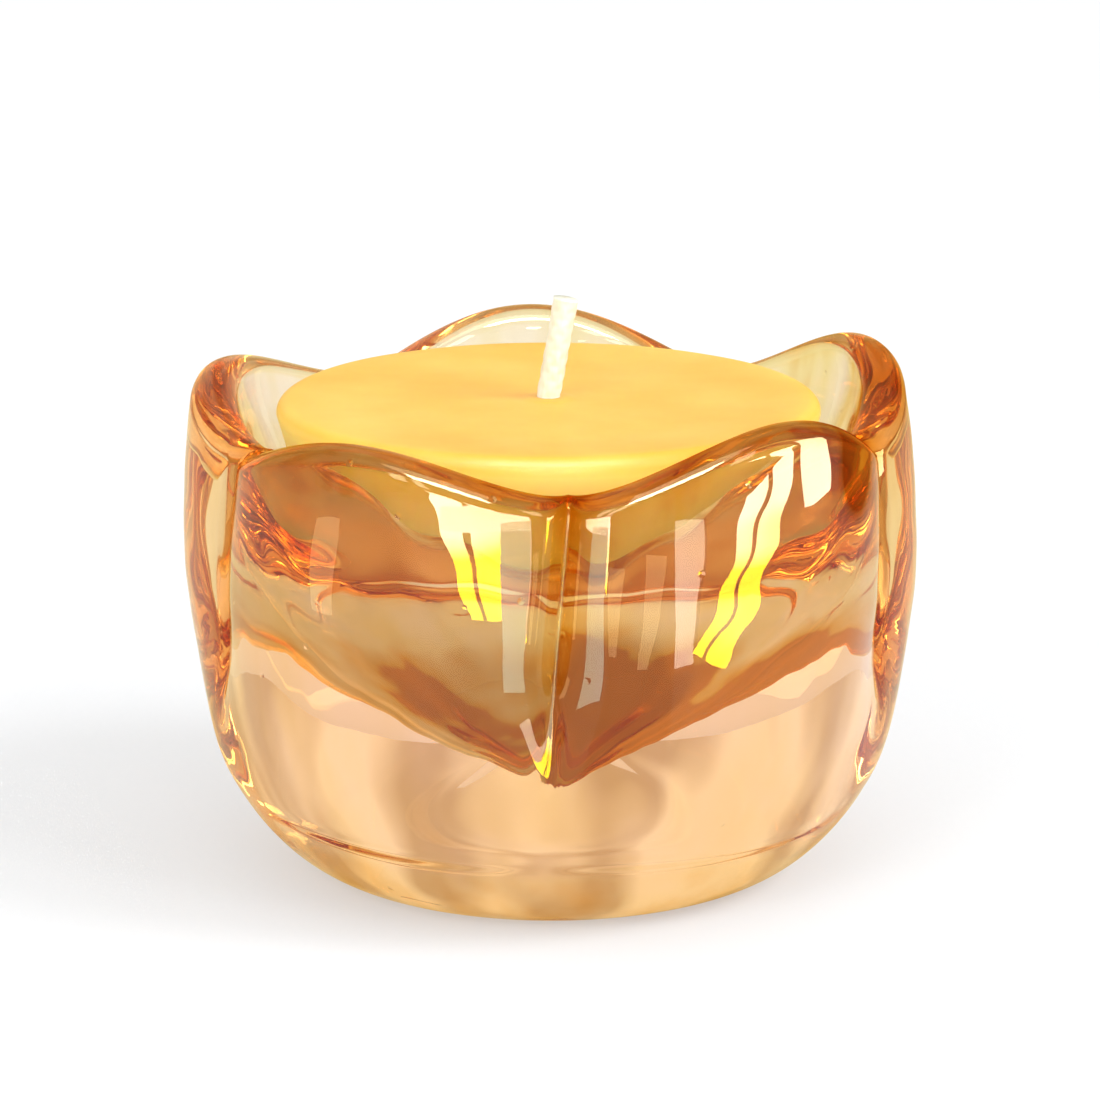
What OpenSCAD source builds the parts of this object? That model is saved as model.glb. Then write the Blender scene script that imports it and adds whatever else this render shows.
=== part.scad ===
// Petal tealight holder: a one-piece pressed glass bowl with a bare tealight candle standing in it.
// Millimetres. +Z is up, the bowl's axis is Z and its flat foot rests on z = 0.

/* [Bowl] */
// Height of each petal's tip, counter-clockwise from the back petal
petal_tips = [35.2, 34.9, 34.7, 35.8, 36.0];
// Direction of the first petal's middle, in degrees from +X
petal_turn = 93; // [0:1:360]
// How far the petals lean round from the rim to the foot, in degrees
petal_lean = 6.5; // [0:0.5:10]
// Height of the rim in the valleys between the petals
valley_z = 31.5; // [28:0.5:34]
// Radius of the bowl at its widest, across a petal's middle
belly_r = 26.5; // [25.5:0.1:28]
// Height at which the bowl is widest
belly_z = 22.5; // [19:0.5:25]
// How far the petals draw in from the belly to the rim
rim_draw = 1.3; // [0:0.1:2]
// Radius of the flat foot
foot_r = 14.4; // [10:0.2:18]

/* [Creases] */
// How deep the outside is creased between the petals, as a share of its radius
crease_depth = 0.13; // [0.02:0.005:0.13]
// Height at which the creases start
crease_start = 7; // [3:0.5:8]
// Height over which a crease grows to its full depth
crease_run = 15; // [12:0.5:20]
// Shape of a petal across its width: below 1 the crease between two petals is a sharp valley
crease_sharp = 0.7; // [0.6:0.05:1.2]
// Depth of the narrow groove along the bottom of each crease
notch_depth = 0.5; // [0:0.1:0.6]
// How deep the inside is creased at the rim, as a share of its radius
cavity_crease = 0.11; // [0:0.01:0.11]
// Height of the ring where the petals grow out of the plain round base
ring_z = 6.4; // [4:0.2:7.2]
// Depth of the groove at that ring
ring_depth = 0.16; // [0:0.02:0.3]

/* [Cavity] */
// Height of the cavity's lowest point, which is the thickness of the solid base there
floor_z = 7.3; // [6:0.1:8]
// Radius of the small flat at that point
floor_r = 0.8; // [0.5:0.1:2]
// Radius of the cavity at its full width
cavity_r = 22.4; // [22.2:0.1:22.6]
// Height at which the cavity reaches its full width
cavity_z = 34; // [33:0.5:34.5]
// Shape of the cavity's section: 1 is a cone and 2 is a round bowl
cavity_bend = 1.6; // [1.6:0.05:2]
// Height of the rounded lip above the last full thickness of the wall
lip_h = 1.3; // [0.8:0.1:2]

/* [Candle] */
// Diameter of the wax across its top, a standard tealight
wax_d = 38.1; // [37:0.1:38.4]
// Diameter of the wax across its underside
wax_foot_d = 33.4; // [30:0.1:33.6]
// Height of the wax
wax_h = 9.5; // [8:0.5:12]
// Radius of the wax's rounded top edge
wax_edge_r = 0.8; // [0.2:0.1:1.5]
// Height of the wax's underside above the foot
seat_z = 24; // [23.9:0.1:24.5]
// Offset of the candle to the left of the bowl's axis
candle_shift = 0.2; // [0:0.05:0.2]

/* [Wick] */
// Thickness of the wick
wick_d = 1.8; // [1.4:0.1:2.2]
// Length of wick that stands out of the wax
wick_out = 7; // [4:0.5:9]
// Lean of the free wick from upright, in degrees
wick_lean = 10; // [0:1:20]
// Diameter of the sustainer's disc
sustainer_d = 12.5; // [10:0.5:16]
// Thickness of the sustainer's tinplate
tin_t = 0.25; // [0.2:0.05:0.4]
// Height of the sustainer's crimped neck
neck_h = 3; // [2:0.5:5]

/* [Hidden] */

petals = len(petal_tips);
petal_span = 360 / petals;
// the section of the bowl below the belly is this near-elliptic curve
belly_power = 1.8;
// half height of the ring's groove
ring_w = 0.5;
// half width of the groove along a crease, in degrees, and where it starts and is fully deep
notch_turn = 2.2;
notch_z = 11;
notch_rise = 9;
// how evenly the rim's wave is spread between valley and tip
rim_wave = 0.85;
// the inside creases start here
cavity_crease_z = 12;

// mesh of the bowl: columns around, then rows up the outside, over the lip and down the inside
columns = 80;
low_rows = 9;
low_z = 8;
high_rows = 10;
lip_rows = 5;
wall_rows = 9;
bottom_rows = 6;
bottom_z = 14;

clearance = 0.02;
wick_r = wick_d / 2;
neck_r = wick_r + 0.35;
recess_h = 0.4;
seat_top = seat_z + wax_h;
wick_foot_z = seat_z + 0.1;
// the wick starts to lean this far above the wax
lean_start = 0.1;
wick_straight = seat_top + lean_start - wick_foot_z;
// the upright stretch runs on by this much, so the leaning one grows out of it with no notch
knee_h = wick_r * sin(wick_lean) + 0.05;
// the leaning stretch is a hair thinner, so it starts wholly inside the upright one
lean_r = wick_r - 0.03;

// angle from the nearest petal's middle, from minus to plus half a petal
function petal_angle(a) =
    let (t = (a - petal_turn + petal_span / 2) % petal_span)
    (t < 0 ? t + petal_span : t) - petal_span / 2;

// number of the petal that a direction falls in
function petal_index(a) =
    let (t = (a - petal_turn + petal_span / 2) % 360)
    floor((t < 0 ? t + 360 : t) / petal_span) % petals;

// 1 at a petal's middle and 0 in the crease beside it, which is round where it starts and then sharp
function lobe(a, grown = 1) =
    pow(abs(cos(petal_angle(a) * 90 / (petal_span / 2))), crease_sharp + (2 - crease_sharp) * (1 - grown));

// height of the rim: a wave between the valleys and each petal's own tip
function rim_z(a) =
    let (wave = 0.5 + 0.5 * cos(petal_angle(a) * petals))
    valley_z + (petal_tips[petal_index(a)] - valley_z) * pow(max(wave, 0), rim_wave);

// outside radius across a petal's middle
function body_r(z) =
    let (groove = ring_depth * exp(-pow((z - ring_z) / ring_w, 2)))
    let (low = max(0, 1 - pow((belly_z - z) / belly_z, 2)))
    z < belly_z
    ? foot_r + (belly_r - foot_r) * pow(low, 1 / belly_power) - groove
    : belly_r - rim_draw * pow((z - belly_z) / (max(petal_tips) - belly_z), 2);

// a narrow groove along each crease, 1 at its bottom
function notch(a) = exp(-pow((petal_span / 2 - abs(petal_angle(a))) / notch_turn, 2));

function smooth_step(t) = let (u = min(1, max(0, t))) u * u * (3 - 2 * u);

// how far the creases are formed at a height, from 0 where they start to 1
function crease_growth(z) = smooth_step((z - crease_start) / crease_run);

// inside radius across a petal's middle
function hollow_r(z) =
    let (down = min(1, max(0, (cavity_z - z) / (cavity_z - floor_z))))
    floor_r + (cavity_r - floor_r) * (1 - pow(down, cavity_bend));

// share of the radius that the inside crease takes away
function inner_crease(z) =
    cavity_crease * max(0, z - cavity_crease_z) / (max(petal_tips) - cavity_crease_z);

function outer_r(a, z) =
    let (grown = crease_growth(z))
    body_r(z) * (1 - crease_depth * grown * (1 - lobe(a, grown)))
        - notch_depth * smooth_step((z - notch_z) / notch_rise) * notch(a);
function inner_r(a, z) = hollow_r(z) * (1 - inner_crease(z) * (1 - lobe(a)));

// how far the petals have turned at a height: they lean, and stand true at the rim's valleys
function lean_turn(z) = petal_lean * (z / valley_z - 1);

function petal_point(a, r, z) = [r * cos(a + lean_turn(z)), r * sin(a + lean_turn(z)), z];

// column directions, with one column in every crease and one on every petal's middle
function column_angle(j) = petal_turn + petal_span / 2 + j * 360 / columns;

// one closed row of points at a height that may change with direction
function outer_low(i) =
    let (z = low_z * pow(i / low_rows, 1.5))
    [for (j = [0:columns - 1]) let (a = column_angle(j)) petal_point(a, outer_r(a, z), z)];

function outer_high(i) =
    [for (j = [0:columns - 1])
        let (a = column_angle(j))
        let (z = low_z + (rim_z(a) - lip_h - low_z) * i / high_rows)
        petal_point(a, outer_r(a, z), z)];

// half an ellipse over the lip, from the outside to the inside
function lip(i) =
    [for (j = [0:columns - 1])
        let (a = column_angle(j))
        let (z = rim_z(a) - lip_h)
        let (turn = 180 * i / lip_rows)
        let (middle = (outer_r(a, z) + inner_r(a, z)) / 2)
        let (half = (outer_r(a, z) - inner_r(a, z)) / 2)
        petal_point(a, middle + half * cos(turn), z + lip_h * sin(turn))];

function inner_wall(i) =
    [for (j = [0:columns - 1])
        let (a = column_angle(j))
        let (z = rim_z(a) - lip_h + (bottom_z - rim_z(a) + lip_h) * i / wall_rows)
        petal_point(a, inner_r(a, z), z)];

function inner_bottom(i) =
    let (z = floor_z + (bottom_z - floor_z) * pow(1 - i / bottom_rows, 1.5))
    [for (j = [0:columns - 1]) let (a = column_angle(j)) petal_point(a, inner_r(a, z), z)];

module glass_bowl() {
    rows = [
        for (i = [0:low_rows]) outer_low(i),
        for (i = [1:high_rows]) outer_high(i),
        for (i = [1:lip_rows]) lip(i),
        for (i = [1:wall_rows]) inner_wall(i),
        for (i = [1:bottom_rows]) inner_bottom(i)
    ];
    last = (len(rows) - 1) * columns;
    side_faces = [
        for (k = [0:len(rows) - 2], j = [0:columns - 1])
            let (here = k * columns + j)
            let (beside = k * columns + (j + 1) % columns)
            each [
                [here, here + columns, beside + columns],
                [here, beside + columns, beside]
            ]
    ];
    foot_face = [for (j = [0:columns - 1]) j];
    floor_face = [for (j = [columns - 1:-1:0]) last + j];
    color([0.89, 0.60, 0.33, 0.6])
        polyhedron(
            points = [for (row = rows) each row],
            faces = concat(side_faces, [foot_face, floor_face]),
            convexity = 6
        );
}

module wax() {
    top_r = wax_d / 2;
    color([0.95, 0.78, 0.36])
        translate([-candle_shift, 0, seat_z])
            difference() {
                wax_body(top_r);
                cylinder(h = wax_h + 1, r = wick_r + clearance, $fn = 48);
                translate([0, 0, -1])
                    cylinder(h = 1 + neck_h + 0.1, r = neck_r + clearance, $fn = 48);
                translate([0, 0, -1])
                    cylinder(h = 1 + recess_h, r = sustainer_d / 2 + 0.1, $fn = 96);
            }
}

// tapered puck whose top edge is a quarter round
module wax_body(top_r) {
    round_steps = 6;
    rotate_extrude($fn = 128)
        polygon([
            [0, 0],
            [wax_foot_d / 2 - 0.4, 0],
            [wax_foot_d / 2, 0.4],
            for (i = [0:round_steps])
                let (turn = 90 * i / round_steps)
                [top_r - wax_edge_r * (1 - cos(turn)), wax_h - wax_edge_r * (1 - sin(turn))],
            [0, wax_h]
        ]);
}

module wick() {
    color([0.93, 0.90, 0.80])
        translate([-candle_shift, 0, wick_foot_z])
            union() {
                cylinder(h = wick_straight + knee_h, r = wick_r, $fn = 48);
                translate([0, 0, wick_straight])
                    rotate([0, wick_lean, 0])
                        cylinder(h = wick_out, r = lean_r, $fn = 48);
            }
}

module wick_sustainer() {
    color([0.75, 0.75, 0.76])
        translate([-candle_shift, 0, seat_z + 0.05])
            difference() {
                union() {
                    cylinder(h = tin_t, r = sustainer_d / 2, $fn = 96);
                    cylinder(h = neck_h, r = neck_r, $fn = 48);
                }
                translate([0, 0, wick_foot_z - seat_z - 0.05])
                    cylinder(h = neck_h, r = wick_r + clearance, $fn = 48);
            }
}

glass_bowl();
wax();
wick();
wick_sustainer();
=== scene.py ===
"""Petal tealight holder: an amber lustre glass bowl with a bare wax tealight in it.

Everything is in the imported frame: metres, +Z up, the bowl's foot on z = 0 and its axis on Z.
"""

import math

import bpy
import numpy as np
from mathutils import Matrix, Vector, noise


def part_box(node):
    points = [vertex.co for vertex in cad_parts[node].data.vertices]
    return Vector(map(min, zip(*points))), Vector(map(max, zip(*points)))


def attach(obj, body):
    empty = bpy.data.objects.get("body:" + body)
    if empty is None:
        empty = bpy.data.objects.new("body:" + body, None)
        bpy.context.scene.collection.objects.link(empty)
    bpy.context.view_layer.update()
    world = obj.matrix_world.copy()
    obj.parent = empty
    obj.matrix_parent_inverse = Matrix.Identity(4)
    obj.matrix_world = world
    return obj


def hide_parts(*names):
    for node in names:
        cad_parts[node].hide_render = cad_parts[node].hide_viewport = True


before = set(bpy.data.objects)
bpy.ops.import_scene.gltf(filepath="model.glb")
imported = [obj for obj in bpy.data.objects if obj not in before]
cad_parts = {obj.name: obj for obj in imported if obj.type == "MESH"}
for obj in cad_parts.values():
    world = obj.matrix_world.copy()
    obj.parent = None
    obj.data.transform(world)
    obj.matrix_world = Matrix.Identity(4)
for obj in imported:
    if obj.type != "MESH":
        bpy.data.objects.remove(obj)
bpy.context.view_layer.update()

MM = 0.001

# ---------------------------------------------------------------- the bowl's shape, as in the CAD model
PETAL_TIPS = [35.2 * MM, 34.9 * MM, 34.7 * MM, 35.8 * MM, 36.0 * MM]
PETALS = len(PETAL_TIPS)
PETAL_SPAN = 2 * math.pi / PETALS
PETAL_TURN = math.radians(93)
PETAL_LEAN = math.radians(6.5)
TALLEST = max(PETAL_TIPS)
VALLEY_Z = 31.5 * MM
BELLY_R = 26.5 * MM
BELLY_Z = 22.5 * MM
BELLY_POWER = 1.8
RIM_DRAW = 1.3 * MM
FOOT_R = 14.4 * MM
CREASE_DEPTH = 0.13
CREASE_START = 7 * MM
CREASE_RUN = 15 * MM
CREASE_SHARP = 0.7
NOTCH_DEPTH = 0.5 * MM
NOTCH_TURN = math.radians(2.2)
NOTCH_Z = 11 * MM
NOTCH_RISE = 9 * MM
CAVITY_CREASE = 0.11
CAVITY_CREASE_Z = 12 * MM
RING_Z = 6.4 * MM
RING_DEPTH = 0.16 * MM
RING_W = 0.5 * MM
FLOOR_Z = 7.3 * MM
FLOOR_R = 0.8 * MM
CAVITY_R = 22.4 * MM
CAVITY_Z = 34 * MM
CAVITY_BEND = 1.6
RIM_WAVE = 0.85
LIP_H = 1.3 * MM

# ---------------------------------------------------------------- what pressing and finishing add to it
RING_SWAY = 0.3 * MM
RING_BREAK = math.radians(14)
INNER_WAVE = 0.12 * MM
WAVE_TOP_Z = 25 * MM
WAVE_FADE = 7 * MM
OUTER_WAVE = 0.035 * MM

# ---------------------------------------------------------------- how finely the bowl is meshed
COLUMNS_PER_PETAL = 64
LOW_Z = 8 * MM
BOTTOM_Z = 14 * MM
UNDER_ROWS = 10
LOW_ROWS = 44
HIGH_ROWS = 64
LIP_ROWS = 18
WALL_ROWS = 60
BOTTOM_ROWS = 34

# ---------------------------------------------------------------- the glass's colours, from clear to stained
LUSTRE = [
    (0.0, (0.99, 0.95, 0.87)),
    (0.48, (0.94, 0.86, 0.56)),
    (0.9, (0.83, 0.53, 0.10)),
    (1.0, (0.68, 0.29, 0.03)),
]
GLASS_COLOUR = (0.96, 0.66, 0.51, 1)
GLASS_DENSITY = 28
SLANT_STAIN = 0.35
# Strength of the upright streaks in the stain, inside and outside: partly uneven lustre, partly painted
# reflection and refraction streaks.
UNEVEN_STAIN_AND_GLEAM_INSIDE = 1.1
UNEVEN_STAIN_AND_GLEAM_OUTSIDE = 0.35
FOOT_FROST = 0.35

# ---------------------------------------------------------------- where the stain is, and how strong
LUSTRE_SIDE = math.radians(-50)
RIM_STAIN = 0.45
RIM_BAND = 7 * MM
CAVITY_STAIN = 0.26
DEEP_STAIN = 0.15
DEEP_STAIN_FIRED = 0.65
DEEP_Z = 22 * MM
DEEP_RISE = 5 * MM
OUTSIDE_STAIN = 0.14
SHOULDER_STAIN = 0.18
SHOULDER_Z = 18 * MM
SHOULDER_RISE = 14 * MM
FOOT_STAIN = 0.2
FOOT_RISE = 2 * MM
CREASE_STAIN = 0.35
CREASE_BAND = math.radians(4)
LIP_STAIN = 0.12
LIP_STAIN_FIRED = 0.22
LIP_BAND = 1.3 * MM
POOL_STAIN = 2.2
POOL_SIDE = math.radians(-36)
POOL_TURN = math.radians(4)
POOL_Z = 32 * MM
POOL_H = 2.4 * MM
PALE_STAIN = 0.5
PALE_SIDE = math.radians(-30)
PALE_TURN = math.radians(12)
PALE_Z = 15 * MM
PALE_H = 9 * MM

# ---------------------------------------------------------------- the candle, beyond its boxes in the CAD
WAX_TAPER = 2.35 * MM
WAX_EDGE = 0.9 * MM
WAX_FOOT_EDGE = 0.4 * MM
WAX_BORE_R = 1.4 * MM
WAX_DISH = 0.12 * MM
WAX_UNEVEN = 0.035 * MM
MENISCUS_R = 1.0 * MM
MENISCUS_W = 0.5 * MM
MENISCUS_H = 0.25 * MM
WICK_LEAN = math.radians(10)
WICK_OUT = 7 * MM
WICK_UPRIGHT = 0.6
WICK_PLAIT = 4.4 * MM
WICK_FLARE = 0.06
TIN = 0.25 * MM
TIN_BEAD = 0.08 * MM
NECK_R = 1.25 * MM
NECK_BORE_R = 0.93 * MM


# ================================================================ small helpers
def smooth_step(t):
    t = np.clip(t, 0, 1)
    return t * t * (3 - 2 * t)


def bell(t):
    """1 at 0, falling smoothly to almost nothing at 2."""
    return np.exp(-(t**2))


def polar(a, r, z):
    a, r, z = np.broadcast_arrays(a, r, z)
    return np.stack([r * np.cos(a), r * np.sin(a), z], -1)


def grid_faces(rows, columns, joined):
    """Quads between successive closed rows of points, and from the last row to the first if joined."""
    here = np.arange(columns)
    beside = (here + 1) % columns
    faces = []
    for k in range(rows if joined else rows - 1):
        low = k * columns
        high = (k + 1) % rows * columns
        faces.append(np.stack([low + here, low + beside, high + beside, high + here], 1))
    return np.concatenate(faces)


def revolved(name, rows, body, joined=False):
    """A closed mesh from rows of points that each go once round. Fans close its ends, unless joined."""
    rows = np.asarray(rows)
    count, columns = rows.shape[:2]
    points = [tuple(p) for p in rows.reshape(-1, 3)]
    faces = [tuple(int(i) for i in f) for f in grid_faces(count, columns, joined)]
    if not joined:
        first_centre = len(points)
        last_centre = first_centre + 1
        last = (count - 1) * columns
        points += [tuple(rows[0].mean(0)), tuple(rows[-1].mean(0))]
        faces += [(first_centre, (j + 1) % columns, j) for j in range(columns)]
        faces += [(last_centre, last + j, last + (j + 1) % columns) for j in range(columns)]
    mesh = bpy.data.meshes.new(name)
    mesh.from_pydata(points, [], faces)
    mesh.shade_smooth()
    obj = bpy.data.objects.new(name, mesh)
    bpy.context.scene.collection.objects.link(obj)
    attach(obj, body)
    return obj


# ================================================================ the bowl's formulas
def petal_angle(a):
    """Angle from the nearest petal's middle."""
    return (a - PETAL_TURN + PETAL_SPAN / 2) % PETAL_SPAN - PETAL_SPAN / 2


def crease_angle(a):
    """Angle from the nearest crease, never negative."""
    return PETAL_SPAN / 2 - np.abs(petal_angle(a))


def petal_index(a):
    turn = (a - PETAL_TURN + PETAL_SPAN / 2) % (2 * math.pi)
    return np.floor(turn / PETAL_SPAN).astype(int) % PETALS


def lobe(a, grown=1):
    """1 at a petal's middle and 0 in the crease beside it, which is round where it starts and then sharp."""
    across = np.abs(np.cos(petal_angle(a) * math.pi / PETAL_SPAN))
    return across ** (CREASE_SHARP + (2 - CREASE_SHARP) * (1 - grown))


def rim_z(a):
    """Height of the rim: a wave between the valleys and each petal's own tip."""
    wave = np.clip(0.5 + 0.5 * np.cos(petal_angle(a) * PETALS), 0, 1)
    return VALLEY_Z + (np.array(PETAL_TIPS)[petal_index(a)] - VALLEY_Z) * wave**RIM_WAVE


def body_r(z):
    """Outside radius across a petal's middle."""
    low = np.clip(1 - ((BELLY_Z - z) / BELLY_Z) ** 2, 0, 1)
    below = FOOT_R + (BELLY_R - FOOT_R) * low ** (1 / BELLY_POWER)
    above = BELLY_R - RIM_DRAW * ((z - BELLY_Z) / (TALLEST - BELLY_Z)) ** 2
    return np.where(z < BELLY_Z, below, above)


def crease_growth(z):
    """How far the creases are formed at a height, from 0 where they start to 1."""
    return smooth_step((z - CREASE_START) / CREASE_RUN)


def hollow_r(z):
    """Inside radius across a petal's middle."""
    down = np.clip((CAVITY_Z - z) / (CAVITY_Z - FLOOR_Z), 0, 1)
    return FLOOR_R + (CAVITY_R - FLOOR_R) * (1 - down**CAVITY_BEND)


def inner_crease(z):
    """Share of the inside radius that the inside crease takes away."""
    return CAVITY_CREASE * np.clip(z - CAVITY_CREASE_Z, 0, None) / (TALLEST - CAVITY_CREASE_Z)


def notch_growth(z):
    """How far the narrow groove along each crease is formed at a height, from 0 where it starts to 1."""
    return smooth_step((z - NOTCH_Z) / NOTCH_RISE)


def unevenness(a, z):
    """The slow waves that a press leaves on hand-finished glass, about -1 to 1."""
    up = z / MM
    waves = np.sin(9 * a + 0.11 * up + 0.5) + np.sin(17 * a - 0.16 * up + 2.1)
    return (waves + np.sin(26 * a + 0.23 * up + 4.0) + 0.8 * np.sin(5 * a - 0.55 * up + 1.2)) / 3


def ring(a, z):
    """The shallow groove round the foot, which wanders a little and fades below the creases."""
    middle = RING_Z + RING_SWAY * (np.sin(2 * a + 0.6) + 0.6 * np.sin(5 * a + 2.0))
    depth = RING_DEPTH * (1 + 0.4 * np.sin(3 * a + 1.0)) * (1 - bell(crease_angle(a) / RING_BREAK))
    return depth * bell((z - middle) / RING_W)


def outer_r(a, z):
    grown = crease_growth(z)
    groove = NOTCH_DEPTH * notch_growth(z) * bell(crease_angle(a) / NOTCH_TURN)
    petals = body_r(z) * (1 - CREASE_DEPTH * grown * (1 - lobe(a, grown))) - groove
    return petals + OUTER_WAVE * grown * unevenness(a, 3 * z) - ring(a, z)


def inner_r(a, z):
    calm = 1 - 0.7 * smooth_step((z - WAVE_TOP_Z) / WAVE_FADE)
    return hollow_r(z) * (1 - inner_crease(z) * (1 - lobe(a))) + INNER_WAVE * calm * unevenness(a, z)


def column_angles():
    """Directions of the columns, closer together beside the creases."""
    across = np.linspace(-1, 1, COLUMNS_PER_PETAL, endpoint=False)
    spread = 0.55 * np.sin(across * math.pi / 2) + 0.45 * across
    petal = PETAL_TURN + spread * PETAL_SPAN / 2
    return np.concatenate([petal + k * PETAL_SPAN for k in range(PETALS)])


def lean_turn(z):
    """How far the petals have turned at a height: they lean a little, and stand true at the rim's valleys."""
    return PETAL_LEAN * (z / VALLEY_Z - 1)


def petal_points(a, r, z):
    return polar(a + lean_turn(z), r, z)


def bowl_rows():
    """Rows from the underside's middle up and over the lip, and rows down to the cavity's floor."""
    a = column_angles()
    zero = np.zeros_like(a)
    lip_z = rim_z(a) - LIP_H
    outer_lip, inner_lip = outer_r(a, lip_z), inner_r(a, lip_z)
    outside = []
    for i in range(1, UNDER_ROWS):
        outside.append(petal_points(a, FOOT_R * (i / UNDER_ROWS) + zero, zero))
    for i in range(LOW_ROWS + 1):
        z = LOW_Z * (i / LOW_ROWS) ** 1.5 + zero
        outside.append(petal_points(a, outer_r(a, z), z))
    for i in range(1, HIGH_ROWS + 1):
        z = LOW_Z + (lip_z - LOW_Z) * i / HIGH_ROWS
        outside.append(petal_points(a, outer_r(a, z), z))
    middle, half = (outer_lip + inner_lip) / 2, (outer_lip - inner_lip) / 2
    for i in range(1, LIP_ROWS):
        turn = math.pi * i / LIP_ROWS
        outside.append(petal_points(a, middle + half * math.cos(turn), lip_z + LIP_H * math.sin(turn)))
    inside = []
    for i in range(WALL_ROWS + 1):
        z = lip_z + (BOTTOM_Z - lip_z) * i / WALL_ROWS
        inside.append(petal_points(a, inner_r(a, z), z))
    for i in range(1, BOTTOM_ROWS + 1):
        z = FLOOR_Z + (BOTTOM_Z - FLOOR_Z) * (1 - i / BOTTOM_ROWS) ** 1.5 + zero
        inside.append(petal_points(a, inner_r(a, z), z))
    for share in (0.66, 0.33):
        inside.append(petal_points(a, FLOOR_R * share + zero, FLOOR_Z + zero))
    return outside, inside


# ================================================================ materials
def new_material(name):
    mat = bpy.data.materials.new(name)
    mat.use_nodes = True
    tree = mat.node_tree
    return mat, tree, tree.nodes["Principled BSDF"]


def coordinate_node(tree, kind):
    return tree.nodes.new("ShaderNodeTexCoord").outputs[kind]


def noise_node(tree, scale, detail, stretch=(1, 1, 1), kind="Object"):
    """Noise in features per unit of the coordinates, stretched along an axis by a scale below 1."""
    mapping = tree.nodes.new("ShaderNodeMapping")
    mapping.inputs["Scale"].default_value = stretch
    pattern = tree.nodes.new("ShaderNodeTexNoise")
    pattern.inputs["Scale"].default_value = scale
    pattern.inputs["Detail"].default_value = detail
    tree.links.new(coordinate_node(tree, kind), mapping.inputs["Vector"])
    tree.links.new(mapping.outputs["Vector"], pattern.inputs["Vector"])
    return pattern.outputs["Fac"]


def axis_node(tree, axis, kind="Object"):
    split = tree.nodes.new("ShaderNodeSeparateXYZ")
    tree.links.new(coordinate_node(tree, kind), split.inputs["Vector"])
    return split.outputs[axis]


def range_node(tree, value, low, high, to_low=0):
    """The value's place between low and high, as a number from to_low to 1."""
    place = tree.nodes.new("ShaderNodeMapRange")
    place.inputs["From Min"].default_value = low
    place.inputs["From Max"].default_value = high
    place.inputs["To Min"].default_value = to_low
    tree.links.new(value, place.inputs["Value"])
    return place.outputs["Result"]


def math_node(tree, operation, *values):
    """A calculation on numbers and other nodes' outputs."""
    node = tree.nodes.new("ShaderNodeMath")
    node.operation = operation
    for socket, value in zip(node.inputs, values):
        if isinstance(value, bpy.types.NodeSocket):
            tree.links.new(value, socket)
        else:
            socket.default_value = value
    return node.outputs["Value"]


def ramp_node(tree, value, stops):
    ramp = tree.nodes.new("ShaderNodeValToRGB")
    elements = ramp.color_ramp.elements
    while len(elements) < len(stops):
        elements.new(0.5)
    for element, (position, colour) in zip(elements, stops):
        element.position = position
        element.color = (*colour, 1)
    tree.links.new(value, ramp.inputs["Fac"])
    return ramp.outputs["Color"]


def bump_node(tree, height, strength, distance, over=None):
    """A bumped normal, on top of another one if it is given."""
    bump = tree.nodes.new("ShaderNodeBump")
    bump.inputs["Strength"].default_value = strength
    bump.inputs["Distance"].default_value = distance
    tree.links.new(height, bump.inputs["Height"])
    if over:
        tree.links.new(over, bump.inputs["Normal"])
    return bump.outputs["Normal"]


def lustre_glass():
    """Clear pressed glass. The mesh's "lustre" is stain in red, the strength of upright streaks in green and
    frost in blue. The streaks are partly uneven stain and partly painted light, standing in for the streaks
    that reflection and refraction draw in the glass.
    """
    mat, tree, shader = new_material("lustre_glass")
    tree.nodes.remove(shader)
    glass = tree.nodes.new("ShaderNodeBsdfGlass")
    glass.inputs["IOR"].default_value = 1.5
    where = tree.nodes.new("ShaderNodeAttribute")
    where.attribute_name = "lustre"
    parts = tree.nodes.new("ShaderNodeSeparateColor")
    tree.links.new(where.outputs["Color"], parts.inputs["Color"])
    tree.links.new(parts.outputs["Blue"], glass.inputs["Roughness"])
    # Painted streaks: stain noise that is partly uneven lustre and partly painted light, for the streaks of
    # reflection and refraction.
    streaks = range_node(tree, noise_node(tree, 190, 3, (1, 1, 0.22)), 0, 1, to_low=-1)
    stain_and_gleam = math_node(tree, "MULTIPLY_ADD", streaks, parts.outputs["Green"], parts.outputs["Red"])
    slant = tree.nodes.new("ShaderNodeLayerWeight")
    slant.inputs["Blend"].default_value = 0.5
    deeper = math_node(tree, "MULTIPLY_ADD", slant.outputs["Facing"], SLANT_STAIN, stain_and_gleam)
    tree.links.new(ramp_node(tree, deeper, LUSTRE), glass.inputs["Color"])
    ripples = noise_node(tree, 90, 2, (1, 1, 0.4))
    flutes = noise_node(tree, 330, 1, (1, 1, 0.12))
    seeds = tree.nodes.new("ShaderNodeTexVoronoi")
    seeds.inputs["Scale"].default_value = 260
    tree.links.new(coordinate_node(tree, "Object"), seeds.inputs["Vector"])
    pits = range_node(tree, seeds.outputs["Distance"], 0, 0.07)
    broad = bump_node(tree, ripples, 0.16, 0.4 * MM)
    fine = bump_node(tree, flutes, 0.22, 0.12 * MM, over=broad)
    pitted = bump_node(tree, pits, 0.6, 0.1 * MM, over=fine)
    tree.links.new(pitted, glass.inputs["Normal"])
    absorb = tree.nodes.new("ShaderNodeVolumeAbsorption")
    absorb.inputs["Color"].default_value = GLASS_COLOUR
    absorb.inputs["Density"].default_value = GLASS_DENSITY
    out = tree.nodes["Material Output"]
    tree.links.new(glass.outputs["BSDF"], out.inputs["Surface"])
    tree.links.new(absorb.outputs["Volume"], out.inputs["Volume"])
    return mat


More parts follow.
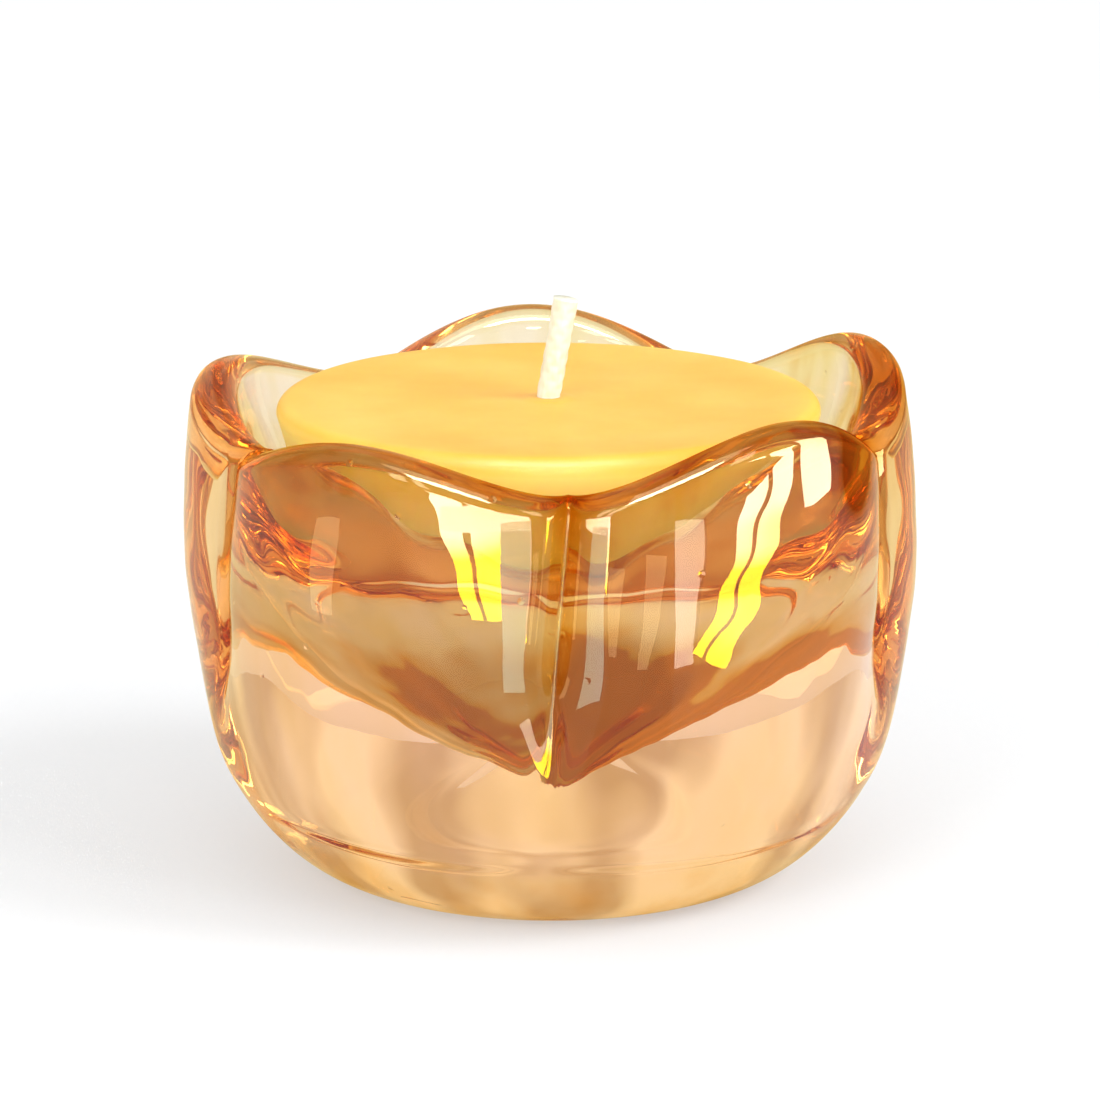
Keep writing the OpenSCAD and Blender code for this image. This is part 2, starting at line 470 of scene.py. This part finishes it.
def wax_material(edge_z):
    """Yellow wax with faint clouds, and plain and paler on the flank below its edge: painted light that lifts
    the shade the bowl casts on the flank.
    """
    mat, tree, wax = new_material("candle_wax")
    clouds = noise_node(tree, 110, 4)
    stops = [(0.3, (0.84, 0.37, 0.03)), (0.75, (0.88, 0.49, 0.08))]
    above_flank = range_node(tree, axis_node(tree, "Z"), edge_z - 0.5 * MM, edge_z + 0.5 * MM)
    # Painted light: the flank's plain colour is paler than the top's, to stand in for the light the bowl
    # keeps off it.
    paler = tree.nodes.new("ShaderNodeMix")
    paler.data_type = "RGBA"
    tree.links.new(above_flank, paler.inputs["Factor"])
    paler.inputs["A"].default_value = (0.93, 0.66, 0.19, 1)
    tree.links.new(ramp_node(tree, clouds, stops), paler.inputs["B"])
    tree.links.new(paler.outputs["Result"], wax.inputs["Base Color"])
    wax.inputs["Roughness"].default_value = 0.5
    wax.inputs["Specular IOR Level"].default_value = 0.3
    wax.inputs["Subsurface Weight"].default_value = 0.8
    wax.inputs["Subsurface Radius"].default_value = (1.0, 0.7, 0.25)
    wax.inputs["Subsurface Scale"].default_value = 7 * MM
    grain = noise_node(tree, 500, 2)
    tree.links.new(bump_node(tree, grain, 0.1, 0.08 * MM), wax.inputs["Normal"])
    return mat


def wick_material():
    mat, tree, cotton = new_material("waxed_cotton")
    fibre = noise_node(tree, 2500, 3, (1, 1, 0.25))
    stops = [(0.3, (0.66, 0.64, 0.49)), (0.7, (0.80, 0.78, 0.65))]
    tree.links.new(ramp_node(tree, fibre, stops), cotton.inputs["Base Color"])
    cotton.inputs["Roughness"].default_value = 0.6
    cotton.inputs["Subsurface Weight"].default_value = 0.3
    cotton.inputs["Subsurface Radius"].default_value = (1.0, 0.8, 0.5)
    cotton.inputs["Subsurface Scale"].default_value = 0.4 * MM
    tree.links.new(bump_node(tree, fibre, 0.6, 0.05 * MM), cotton.inputs["Normal"])
    return mat


def tin_material():
    mat, tree, tin = new_material("tinplate")
    rolled = noise_node(tree, 1500, 3, (1, 0.1, 1))
    stops = [(0.3, (0.55, 0.55, 0.56)), (0.7, (0.78, 0.78, 0.79))]
    tree.links.new(ramp_node(tree, rolled, stops), tin.inputs["Base Color"])
    tin.inputs["Metallic"].default_value = 1
    tin.inputs["Roughness"].default_value = 0.32
    tree.links.new(bump_node(tree, rolled, 0.2, 0.02 * MM), tin.inputs["Normal"])
    return mat


# ================================================================ the pieces
def patch(a, z, side, turn, middle, height):
    """A soft spot on the glass, 1 at its middle."""
    return np.exp(-(((a - side) / turn) ** 2) - ((z - middle) / height) ** 2)


def stain_of(points, is_inside):
    """How strong the lustre is: most at the lip, along the creases and deep in the cavity, on the fired side.

    That side also has a small dark pool near its lip, and a larger paler patch below it.
    """
    x, y, z = points.T
    a = np.arctan2(y, x) - lean_turn(z)
    below_rim = rim_z(a) - z
    fired = 0.5 + 0.5 * np.cos(a - LUSTRE_SIDE)
    depth = smooth_step(below_rim / RIM_BAND)
    inside = RIM_STAIN * fired * (1 - depth) + CAVITY_STAIN * depth
    inside += (DEEP_STAIN + DEEP_STAIN_FIRED * fired**2) * smooth_step((DEEP_Z - z) / DEEP_RISE)
    outside = OUTSIDE_STAIN + SHOULDER_STAIN * fired * smooth_step((z - SHOULDER_Z) / SHOULDER_RISE)
    outside += FOOT_STAIN * smooth_step((RING_Z - z) / FOOT_RISE)
    outside += CREASE_STAIN * bell(crease_angle(a) / CREASE_BAND) * notch_growth(z)
    lip = (LIP_STAIN + LIP_STAIN_FIRED * fired) * bell(np.clip(below_rim, 0, None) / LIP_BAND)
    pool = POOL_STAIN * patch(a, z, POOL_SIDE, POOL_TURN, POOL_Z, POOL_H)
    pale = PALE_STAIN * patch(a, z, PALE_SIDE, PALE_TURN, PALE_Z, PALE_H)
    return np.where(is_inside, inside, outside) + lip + pool - pale


def make_bowl():
    outside, inside = bowl_rows()
    bowl = revolved("glass_bowl_petals", outside + inside, "holder")
    points = np.array([v.co for v in bowl.data.vertices])
    is_inside = np.arange(len(points)) >= len(outside) * COLUMNS_PER_PETAL * PETALS
    underside_middle = -2
    is_inside[underside_middle] = False
    underfoot = (points[:, 2] < 0.01 * MM) & (np.hypot(points[:, 0], points[:, 1]) < FOOT_R * 0.97)
    lustre = np.ones((len(points), 4), np.float32)
    lustre[:, 0] = stain_of(points, is_inside)
    # Green: how strong the streaks are, uneven stain and painted reflection streaks both.
    lustre[:, 1] = np.where(is_inside, UNEVEN_STAIN_AND_GLEAM_INSIDE, UNEVEN_STAIN_AND_GLEAM_OUTSIDE)
    lustre[:, 2] = np.where(underfoot, FOOT_FROST, 0)
    attribute = bowl.data.attributes.new("lustre", "FLOAT_COLOR", "POINT")
    attribute.data.foreach_set("color", lustre.ravel())
    bowl.data.materials.append(lustre_glass())
    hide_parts("glass_bowl")


def wax_profile(top_r, wall_top):
    """Radius and height of the puck's outline, from its bore out, up the flank and in to the wick."""
    foot_r = top_r - WAX_TAPER
    height = wall_top + WAX_EDGE
    profile = [(r, 0.0) for r in np.linspace(WAX_BORE_R, foot_r - WAX_FOOT_EDGE, 14)]
    for t in (0.5, 1.1):
        profile.append((foot_r - WAX_FOOT_EDGE * (1 - math.sin(t)), WAX_FOOT_EDGE * (1 - math.cos(t))))
    for t in np.linspace(0, 1, 24):
        profile.append((foot_r + (top_r - foot_r) * t, WAX_FOOT_EDGE + (wall_top - WAX_FOOT_EDGE) * t))
    for t in np.linspace(0.12, 1, 9) * math.pi / 2:
        profile.append((top_r - WAX_EDGE * (1 - math.cos(t)), wall_top + WAX_EDGE * math.sin(t)))
    for share in np.linspace(0.97, 0.0, 44)[:-1]:
        r = MENISCUS_R + (top_r - WAX_EDGE - MENISCUS_R) * share
        dish = WAX_DISH * smooth_step((top_r * 0.93 - r) / (top_r * 0.3))
        profile.append((r, height - dish + MENISCUS_H * bell((r - MENISCUS_R) / MENISCUS_W)))
    return profile


def make_wax():
    """A tapered puck, with a rounded edge and a slightly uneven top that rises to the wick."""
    low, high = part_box("wax")
    centre = (low + high) / 2
    wall_top = high.z - low.z - WAX_EDGE
    columns = 192
    a = np.linspace(0, 2 * math.pi, columns, endpoint=False)
    rows = []
    for r, z in wax_profile((high.x - low.x) / 2, wall_top):
        uneven = [noise.noise(Vector((math.cos(t) * r, math.sin(t) * r, z)) * 180) for t in a]
        rise = WAX_UNEVEN * np.array(uneven) * (z > wall_top)
        rows.append(polar(a, r, low.z + z + rise) + np.array((centre.x, centre.y, 0)))
    wax = revolved("wax_puck", rows, "candle")
    wax.data.materials.append(wax_material(low.z + wall_top))
    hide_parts("wax")


def make_wick():
    """A plaited wick, upright in the wax and leaning above it, that spreads a little at its tip."""
    low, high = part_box("wick")
    wick_r = (high.y - low.y) / 2
    bend_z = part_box("wax")[1].z + 0.1 * MM
    start = Vector((low.x + wick_r, 0, low.z + 0.2 * MM))
    knee = Vector((start.x, 0, bend_z))
    tip = Vector((start.x + math.sin(WICK_LEAN) * WICK_OUT, 0, bend_z + math.cos(WICK_LEAN) * WICK_OUT))
    columns = 56
    a = np.linspace(0, 2 * math.pi, columns, endpoint=False)
    rows = []
    for t in np.linspace(0, 1, 200):
        if t < WICK_UPRIGHT:
            centre = start.lerp(knee, t / WICK_UPRIGHT)
            side = Vector((1, 0, 0))
        else:
            along = (t - WICK_UPRIGHT) / (1 - WICK_UPRIGHT)
            centre = knee.lerp(tip, along)
            turn = WICK_LEAN * smooth_step(along * 6)
            side = Vector((math.cos(turn), 0, -math.sin(turn)))
        plait = (centre - start).length / WICK_PLAIT * 2 * math.pi
        strands = np.maximum(np.cos(4 * a + 4 * plait), np.cos(4 * a - 4 * plait))
        flare = 1 + WICK_FLARE * smooth_step((t - 0.9) / 0.1)
        radius = wick_r * flare * (0.95 + 0.03 * strands) * 0.97
        offset = np.outer(radius * np.cos(a), side) + np.outer(radius * np.sin(a), (0, 1, 0))
        rows.append(np.array(centre) + offset)
    wick = revolved("wick_braid", rows, "candle")
    wick.data.materials.append(wick_material())
    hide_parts("wick")


def sustainer_profile(disc_r, height):
    """Radius and height of the outline: under the disc, round its edge, up the neck and down its bore."""
    bead_top = TIN + TIN_BEAD
    profile = [(NECK_BORE_R, 0.0), (2.2 * MM, 0.0), (2.5 * MM, TIN_BEAD), (3.4 * MM, TIN_BEAD)]
    profile += [(3.7 * MM, 0.0), (disc_r - 0.2 * MM, 0.0), (disc_r, 0.06 * MM), (disc_r, TIN - 0.04 * MM)]
    profile += [(disc_r - 0.12 * MM, TIN), (3.9 * MM, TIN), (3.6 * MM, bead_top)]
    profile += [(2.6 * MM, bead_top), (2.3 * MM, TIN), (NECK_R + 0.35 * MM, TIN)]
    profile += [(NECK_R + 0.05 * MM, TIN + 0.3 * MM), (NECK_R, 0.8 * MM), (NECK_R, height)]
    profile += [(0.96 * MM, height), (NECK_BORE_R, height - 0.1 * MM), (NECK_BORE_R, 0.6 * MM)]
    return profile


def make_sustainer():
    """A pressed disc with a raised bead, and a crimped neck for the wick's foot."""
    low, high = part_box("wick_sustainer")
    centre = (low + high) / 2
    columns = 144
    a = np.linspace(0, 2 * math.pi, columns, endpoint=False)
    profile = sustainer_profile((high.x - low.x) / 2, high.z - low.z)
    rows = [polar(a, r, z + low.z) + np.array((centre.x, 0, 0)) for r, z in profile]
    disc = revolved("wick_sustainer_tin", rows, "candle", joined=True)
    disc.data.materials.append(tin_material())
    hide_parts("wick_sustainer")


# ================================================================ floor, light and camera
def make_floor():
    size = 6.0
    mesh = bpy.data.meshes.new("floor")
    corners = [(-size, -size, 0), (size, -size, 0), (size, size, 0), (-size, size, 0)]
    mesh.from_pydata(corners, [], [(0, 1, 2, 3)])
    floor = bpy.data.objects.new("floor", mesh)
    floor.location.z = -0.02 * MM
    bpy.context.scene.collection.objects.link(floor)
    mat, _, paper = new_material("white_sweep")
    paper.inputs["Base Color"].default_value = (0.47, 0.48, 0.495, 1)
    paper.inputs["Emission Color"].default_value = (1, 1, 1, 1)
    paper.inputs["Emission Strength"].default_value = 0.4
    paper.inputs["Roughness"].default_value = 0.7
    paper.inputs["Specular IOR Level"].default_value = 0.1
    mesh.materials.append(mat)


def background_node(tree, colour):
    light = tree.nodes.new("ShaderNodeBackground")
    tree.links.new(colour, light.inputs["Color"])
    return light.outputs["Background"]


def mix_node(tree, share, first, second):
    mix = tree.nodes.new("ShaderNodeMixShader")
    for socket, value in zip(mix.inputs, (share, first, second)):
        tree.links.new(value, socket)
    return mix.outputs["Shader"]


def make_world():
    """White for the camera. Glass sees soft upright streaks, and matt surfaces more light from the front."""
    world = bpy.data.worlds.new("studio")
    bpy.context.scene.world = world
    world.use_nodes = True
    tree = world.node_tree
    tree.nodes.clear()
    streaks = noise_node(tree, 3.2, 2, (1, 1, 0.25), "Generated")
    room = ramp_node(tree, streaks, [(0.42, (0.74, 0.64, 0.49)), (0.56, (1.20, 1.22, 1.12))])
    to_back = range_node(tree, axis_node(tree, "Y", "Generated"), -0.8, 0.8)
    fill = ramp_node(tree, to_back, [(0.0, (1.15, 1.15, 1.15)), (1.0, (0.55, 0.55, 0.55))])
    white = tree.nodes.new("ShaderNodeBackground")
    white.inputs["Color"].default_value = (1, 1, 1, 1)
    ray = tree.nodes.new("ShaderNodeLightPath").outputs
    unseen = mix_node(tree, ray["Diffuse Depth"], background_node(tree, room), background_node(tree, fill))
    final = mix_node(tree, ray["Is Camera Ray"], unseen, white.outputs["Background"])
    out = tree.nodes.new("ShaderNodeOutputWorld")
    tree.links.new(final, out.inputs["Surface"])


def add_sun(name, towards, strength, angle):
    data = bpy.data.lights.new(name, "SUN")
    data.energy = strength
    data.angle = math.radians(angle)
    sun = bpy.data.objects.new(name, data)
    sun.rotation_euler = Vector(towards).to_track_quat("-Z", "Y").to_euler()
    sun.visible_glossy = False
    sun.visible_transmission = False
    bpy.context.scene.collection.objects.link(sun)


def add_window(name, place, width, height, radiance):
    """A bright upright panel that faces the object."""
    data = bpy.data.lights.new(name, "AREA")
    data.shape = "RECTANGLE"
    data.size = width
    data.size_y = height
    data.energy = radiance * math.pi * width * height
    panel = bpy.data.objects.new(name, data)
    panel.location = place
    aim = Vector((0, 0, 0.02)) - Vector(place)
    panel.rotation_euler = aim.to_track_quat("-Z", "Y").to_euler()
    panel.visible_camera = False
    bpy.context.scene.collection.objects.link(panel)


def card_glow(name, radiance, warm, tint):
    """A glow that lights no matt surface: a plain tint, or turning from white above to warm yellow below."""
    mat = bpy.data.materials.new(name)
    mat.use_nodes = True
    tree = mat.node_tree
    tree.nodes.clear()
    glow = tree.nodes.new("ShaderNodeEmission")
    glow.inputs["Color"].default_value = (*tint, 1)
    if warm:
        height = range_node(tree, axis_node(tree, "Z"), 19 * MM, 29 * MM)
        warmth = ramp_node(tree, height, [(0, (1, 0.80, 0.06)), (1, (1, 1, 0.92))])
        tree.links.new(warmth, glow.inputs["Color"])
    ray = tree.nodes.new("ShaderNodeLightPath").outputs
    direct = math_node(tree, "LESS_THAN", ray["Diffuse Depth"], 0.5)
    tree.links.new(math_node(tree, "MULTIPLY", direct, radiance), glow.inputs["Strength"])
    out = tree.nodes.new("ShaderNodeOutputMaterial")
    tree.links.new(glow.outputs["Emission"], out.inputs["Surface"])
    return mat


def add_card(name, rows, radiance, warm=False, panes=((0, 1),), tint=(1, 1, 1)):
    """A bright card for the glass to reflect. Rows are its left and right ends from the bottom up, in mm."""
    points, faces = [], []
    for start, end in panes:
        for k, (left, right) in enumerate(rows):
            left, right = Vector(left) * MM, Vector(right) * MM
            points += [left.lerp(right, start), left.lerp(right, end)]
            if k > 0:
                high = len(points) - 2
                faces.append((high - 2, high - 1, high + 1, high))
    mesh = bpy.data.meshes.new(name)
    mesh.from_pydata(points, [], faces)
    mesh.materials.append(card_glow(name, radiance, warm, tint))
    card = bpy.data.objects.new(name, mesh)
    bpy.context.scene.collection.objects.link(card)
    card.visible_camera = False
    card.visible_diffuse = False
    card.visible_shadow = False
    card.visible_transmission = False


def make_cards():
    """Two tall windows in front, each with a mullion, dimmer ones between and beside them, and panels above.

    The flags stand close in front of the front crease, for the petals beside it to reflect.
    """
    panes = ((0, 0.36), (0.47, 1))
    left = [((-5, -75, 8), (14, -75, 8)), ((-16, -75, 21), (13, -75, 21)), ((-30, -75, 34), (15, -75, 34))]
    right = [((36, -78, 1), (50, -66, 1)), ((50, -64, 20), (62, -46, 20)), ((57, -60, 34), (76, -28, 36))]
    sky = [((13, -75, -6), (34, -75, -6)), ((15, -75, 30), (38, -75, 30))]
    flag = [((2, -29, 4), (9.5, -29, 4)), ((2, -29, 33), (9.5, -29, 33))]
    pale_left = [((2.3, -28.8, 20), (3.2, -28.8, 20)), ((2.2, -28.8, 27), (4.0, -28.8, 27))]
    pale_right = [((5.6, -28.8, 19), (6.7, -28.8, 19)), ((6.4, -28.8, 28), (8.6, -28.8, 28))]
    silver = [((-1.6, -29, 16.5), (1.5, -29, 16.5)), ((-2.2, -29, 30), (1.8, -29, 30))]
    sill = [((-8.6, -29, 29.8), (1.8, -29, 29.2)), ((-8.6, -29, 31.4), (1.9, -29, 31.4))]
    between = [((38, -75, 5), (70, -75, 5)), ((40, -75, 34), (80, -75, 34))]
    side = [((84, -26, 24), (84, -6, 24)), ((84, -30, 52), (84, 0, 52))]
    far_left = [((-96, -60, 2), (-104, -40, 2)), ((-96, -60, 22), (-104, -40, 22))]
    above = [((-70, -170, 170), (70, -170, 170)), ((-70, -130, 220), (70, -130, 220))]
    overhead = [((-120, -260, 300), (120, -260, 300)), ((-120, -60, 330), (120, -60, 330))]
    add_card("window_left", left, 30, True, panes)
    add_card("window_right", right, 30, True, panes)
    add_card("window_sky", sky, 9)
    add_card("window_between", between, 2, tint=(1, 0.85, 0.6))
    add_card("flag", flag, 0.9)
    add_card("flag_pale_left", pale_left, 4, tint=(1, 0.86, 0.6))
    add_card("flag_pale_right", pale_right, 4, tint=(1, 0.86, 0.6))
    add_card("flag_silver", silver, 7, tint=(0.6, 0.95, 1))
    add_card("flag_sill", sill, 20)
    add_card("window_side", side, 22)
    add_card("window_far_left", far_left, 4, tint=(1, 0.9, 0.7))
    add_card("strip_above", above, 50)
    add_card("overhead", overhead, 6)


def make_lights():
    add_sun("key", (-0.75, 0.25, -0.65), 1.5, 24)
    add_window("window_left", (-0.42, -0.62, 0.36), 0.12, 0.42, 9)
    add_window("window_left_2", (-0.27, -0.70, 0.36), 0.10, 0.42, 9)
    add_window("window_right", (0.50, -0.50, 0.34), 0.16, 0.36, 9)


def make_camera():
    elevation = math.radians(14.4)
    distance = 340 * MM
    pixels_per_mm = 14.17
    frame_px = 1100
    aim = Vector((-0.1 * MM, 0, 22.4 * MM))
    back = Vector((0, -math.cos(elevation), math.sin(elevation)))
    data = bpy.data.cameras.new("camera")
    data.sensor_width = 36
    data.lens = pixels_per_mm * distance / MM * data.sensor_width / frame_px
    data.clip_start = 0.01
    camera = bpy.data.objects.new("camera", data)
    camera.location = aim + back * distance
    camera.rotation_euler = (-back).to_track_quat("-Z", "Y").to_euler()
    bpy.context.scene.collection.objects.link(camera)
    bpy.context.scene.camera = camera


def main():
    bpy.context.scene.view_settings.view_transform = "Standard"
    bpy.context.scene.cycles.max_bounces = 40
    bpy.context.scene.cycles.transmission_bounces = 40
    bpy.context.scene.cycles.glossy_bounces = 16
    make_bowl()
    make_wax()
    make_wick()
    make_sustainer()
    make_floor()
    make_world()
    make_lights()
    make_cards()
    make_camera()


main()
